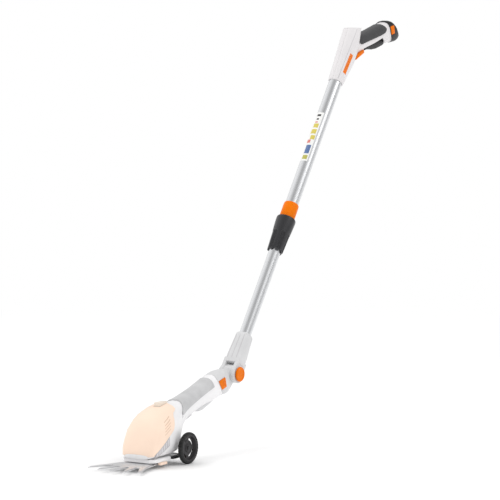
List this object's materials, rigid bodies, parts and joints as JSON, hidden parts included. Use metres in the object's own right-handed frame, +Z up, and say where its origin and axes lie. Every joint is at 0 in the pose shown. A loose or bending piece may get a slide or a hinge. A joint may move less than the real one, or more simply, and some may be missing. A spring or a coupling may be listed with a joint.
{
  "type": "battery grass shears on a wheeled telescopic shaft",
  "caption": "Cordless grass shears with fan-shaped blades, carried on a wheeled telescopic shaft with a tilting joint, twist clamp, angled trigger handle and slide-in battery.",
  "frame": {"origin": "middle of the hand grip at the top of the shaft", "axes": "-Y forward along the blades, +Y rearwards along the hand grip, +Z up with the wheels on level ground, +X to the right of a person behind the tool"},
  "size_m": [0.123, 1.0935, 0.8506],
  "materials": {
    "body_shell_left": "fine satin",
    "body_shell_right": "fine satin",
    "top_cover": "satin",
    "side_vent_left": "matt",
    "side_vent_right": "matt",
    "stock_grip_pad": "soft-touch",
    "lock_button": "fine satin",
    "stock_trigger": "fine satin",
    "stock_trigger_pin": "satin",
    "stock_latch": "fine satin",
    "lower_blade": "satin",
    "upper_blade": "satin",
    "blade_pivot_bolt": "satin",
    "base_plate": "fine satin",
    "blade_release_left": "satin",
    "blade_release_right": "satin",
    "crank_gear": "fine satin",
    "gear_shaft": "satin",
    "motor_pinion": "satin",
    "drive_motor": "satin",
    "gear_deck": "matt",
    "control_board": "matt",
    "wheel_carriage": "matt",
    "tyre_left": "matt",
    "tyre_right": "matt",
    "wheel_disc_left": "matt",
    "wheel_disc_right": "matt",
    "wheel_axle_left": "satin",
    "wheel_axle_right": "satin",
    "adapter_body": "fine satin",
    "adapter_plug": "matt",
    "plug_contact_left": "satin",
    "plug_contact_right": "satin",
    "adapter_button_left": "satin",
    "adapter_button_right": "satin",
    "shaft_socket": "fine satin",
    "tilt_pin": "satin",
    "tilt_knob": "satin",
    "tilt_cap": "fine satin",
    "lower_tube": "anodised, satin",
    "upper_tube": "anodised, satin",
    "tube_end_plug": "matt",
    "clamp_collet": "fine satin",
    "clamp_sleeve": "matt",
    "shaft_collar": "satin",
    "handle_shell_left": "fine satin",
    "handle_shell_right": "fine satin",
    "hand_grip_pad": "soft-touch, fine grain",
    "drive_trigger": "matt",
    "drive_trigger_pin": "satin",
    "trigger_latch": "satin",
    "grip_switch": "matt",
    "battery_case": "matt",
    "battery_contact_left": "satin",
    "battery_contact_right": "satin",
    "battery_button_left": "satin",
    "battery_button_right": "satin"
  },
  "bodies": {
    "shaft_top": {"handle_shell_left": "handle_shell_left", "handle_shell_right": "handle_shell_right", "hand_grip_pad": "hand_grip_pad", "drive_trigger_pin": "drive_trigger_pin", "grip_switch": "grip_switch", "upper_tube": "upper_tube", "clamp_collet": "clamp_collet", "shaft_collar": "shaft_collar"},
    "sleeve": {"clamp_sleeve": "clamp_sleeve"},
    "lower_shaft": {"lower_tube": "lower_tube", "tube_end_plug": "tube_end_plug", "shaft_socket": "shaft_socket", "tilt_pin": "tilt_pin", "tilt_cap": "tilt_cap"},
    "tilt_knob": {"tilt_knob": "tilt_knob"},
    "adapter": {"adapter_body": "adapter_body", "adapter_plug": "adapter_plug", "plug_contact_left": "plug_contact_left", "plug_contact_right": "plug_contact_right"},
    "adapter_button_left": {"adapter_button_left": "adapter_button_left"},
    "adapter_button_right": {"adapter_button_right": "adapter_button_right"},
    "shears": {"body_shell_left": "body_shell_left", "body_shell_right": "body_shell_right", "top_cover": "top_cover", "side_vent_left": "side_vent_left", "side_vent_right": "side_vent_right", "stock_grip_pad": "stock_grip_pad", "stock_trigger_pin": "stock_trigger_pin", "base_plate": "base_plate", "lower_blade": "lower_blade", "blade_pivot_bolt": "blade_pivot_bolt", "gear_deck": "gear_deck", "gear_shaft": "gear_shaft", "drive_motor": "drive_motor", "control_board": "control_board"},
    "upper_blade": {"upper_blade": "upper_blade"},
    "crank_gear": {"crank_gear": "crank_gear"},
    "motor_pinion": {"motor_pinion": "motor_pinion"},
    "stock_trigger": {"stock_trigger": "stock_trigger"},
    "stock_latch": {"stock_latch": "stock_latch"},
    "lock_button": {"lock_button": "lock_button"},
    "blade_release_left": {"blade_release_left": "blade_release_left"},
    "blade_release_right": {"blade_release_right": "blade_release_right"},
    "carriage": {"wheel_carriage": "wheel_carriage", "wheel_axle_left": "wheel_axle_left", "wheel_axle_right": "wheel_axle_right"},
    "wheel_left": {"tyre_left": "tyre_left", "wheel_disc_left": "wheel_disc_left"},
    "wheel_right": {"tyre_right": "tyre_right", "wheel_disc_right": "wheel_disc_right"},
    "drive_trigger": {"drive_trigger": "drive_trigger"},
    "trigger_latch": {"trigger_latch": "trigger_latch"},
    "battery": {"battery_case": "battery_case", "battery_contact_left": "battery_contact_left", "battery_contact_right": "battery_contact_right"},
    "battery_button_left": {"battery_button_left": "battery_button_left"},
    "battery_button_right": {"battery_button_right": "battery_button_right"}
  },
  "joints": [
    {"name": "sleeve_twist", "type": "hinge", "parent": "shaft_top", "child": "sleeve", "pos_m": [0, -0.34484, -0.39501], "axis": [0, 0.5793, 0.8151], "range_deg": [0, 90]},
    {"name": "shaft_telescope", "type": "slide", "parent": "shaft_top", "child": "lower_shaft", "axis": [0, -0.5793, -0.8151], "range_m": [-0.095, 0.055]},
    {"name": "tilt_knob_press", "type": "slide", "parent": "lower_shaft", "child": "tilt_knob", "axis": [-1, 0, 0], "range_m": [0, 0.0018], "stiffness_N_per_m": 400},
    {"name": "tilt_hinge", "type": "hinge", "parent": "lower_shaft", "child": "adapter", "pos_m": [0, -0.536, -0.664], "axis": [1, 0, 0], "range_deg": [-50, 60]},
    {"name": "adapter_button_left_press", "type": "slide", "parent": "adapter", "child": "adapter_button_left", "axis": [1, 0, 0], "range_m": [0, 0.002], "stiffness_N_per_m": 400},
    {"name": "adapter_button_right_press", "type": "slide", "parent": "adapter", "child": "adapter_button_right", "axis": [-1, 0, 0], "range_m": [0, 0.002], "stiffness_N_per_m": 400},
    {"name": "shears_unplug", "type": "slide", "parent": "adapter", "child": "shears", "axis": [0, -0.9636, -0.2672], "range_m": [0, 0.05]},
    {"name": "upper_blade_swing", "type": "hinge", "parent": "shears", "child": "upper_blade", "pos_m": [0, -0.837, -0.804], "axis": [0, 0, 1], "range_deg": [-8, 8]},
    {"name": "crank_gear_spin", "type": "hinge", "parent": "shears", "child": "crank_gear", "pos_m": [0, -0.809, -0.783], "axis": [0, 0, 1], "continuous": true},
    {"name": "motor_pinion_spin", "type": "hinge", "parent": "shears", "child": "motor_pinion", "pos_m": [0, -0.8354, -0.783], "axis": [0, 0, 1], "continuous": true},
    {"name": "stock_trigger_squeeze", "type": "hinge", "parent": "shears", "child": "stock_trigger", "pos_m": [0, -0.679, -0.7165], "axis": [1, 0, 0], "range_deg": [0, 3.5], "stiffness_Nm_per_rad": 1.2, "springref_deg": -8.59},
    {"name": "stock_latch_slide", "type": "slide", "parent": "shears", "child": "stock_latch", "axis": [0, 0.9549, 0.297], "range_m": [0, 0.003], "stiffness_N_per_m": 300},
    {"name": "lock_button_press", "type": "slide", "parent": "shears", "child": "lock_button", "axis": [0, 0, -1], "range_m": [0, 0.0018], "stiffness_N_per_m": 400},
    {"name": "blade_release_left_press", "type": "slide", "parent": "shears", "child": "blade_release_left", "axis": [1, 0, 0], "range_m": [0, 0.0015], "stiffness_N_per_m": 400},
    {"name": "blade_release_right_press", "type": "slide", "parent": "shears", "child": "blade_release_right", "axis": [-1, 0, 0], "range_m": [0, 0.0015], "stiffness_N_per_m": 400},
    {"name": "carriage_detach", "type": "slide", "parent": "shears", "child": "carriage", "axis": [0, 0, -1], "range_m": [0, 0.02]},
    {"name": "wheel_left_spin", "type": "hinge", "parent": "carriage", "child": "wheel_left", "pos_m": [0, -0.777, -0.782], "axis": [1, 0, 0], "continuous": true},
    {"name": "wheel_right_spin", "type": "hinge", "parent": "carriage", "child": "wheel_right", "pos_m": [0, -0.777, -0.782], "axis": [1, 0, 0], "continuous": true},
    {"name": "drive_trigger_squeeze", "type": "hinge", "parent": "shaft_top", "child": "drive_trigger", "pos_m": [0, -0.02673, -0.02011], "axis": [1, 0, 0], "range_deg": [0, 3], "stiffness_Nm_per_rad": 1.2, "springref_deg": -8.59},
    {"name": "trigger_latch_slide", "type": "slide", "parent": "shaft_top", "child": "trigger_latch", "axis": [0, -0.9336, -0.3584], "range_m": [0, 0.0022], "stiffness_N_per_m": 300},
    {"name": "battery_detach", "type": "slide", "parent": "shaft_top", "child": "battery", "axis": [0, 0.9826, 0.1857], "range_m": [0, 0.06]},
    {"name": "battery_button_left_press", "type": "slide", "parent": "battery", "child": "battery_button_left", "axis": [1, 0, 0], "range_m": [0, 0.002], "stiffness_N_per_m": 400},
    {"name": "battery_button_right_press", "type": "slide", "parent": "battery", "child": "battery_button_right", "axis": [-1, 0, 0], "range_m": [0, 0.002], "stiffness_N_per_m": 400}
  ],
  "couplings": [
    {"joint": "motor_pinion_spin", "follows": "crank_gear_spin", "ratio": -3.4}
  ]
}
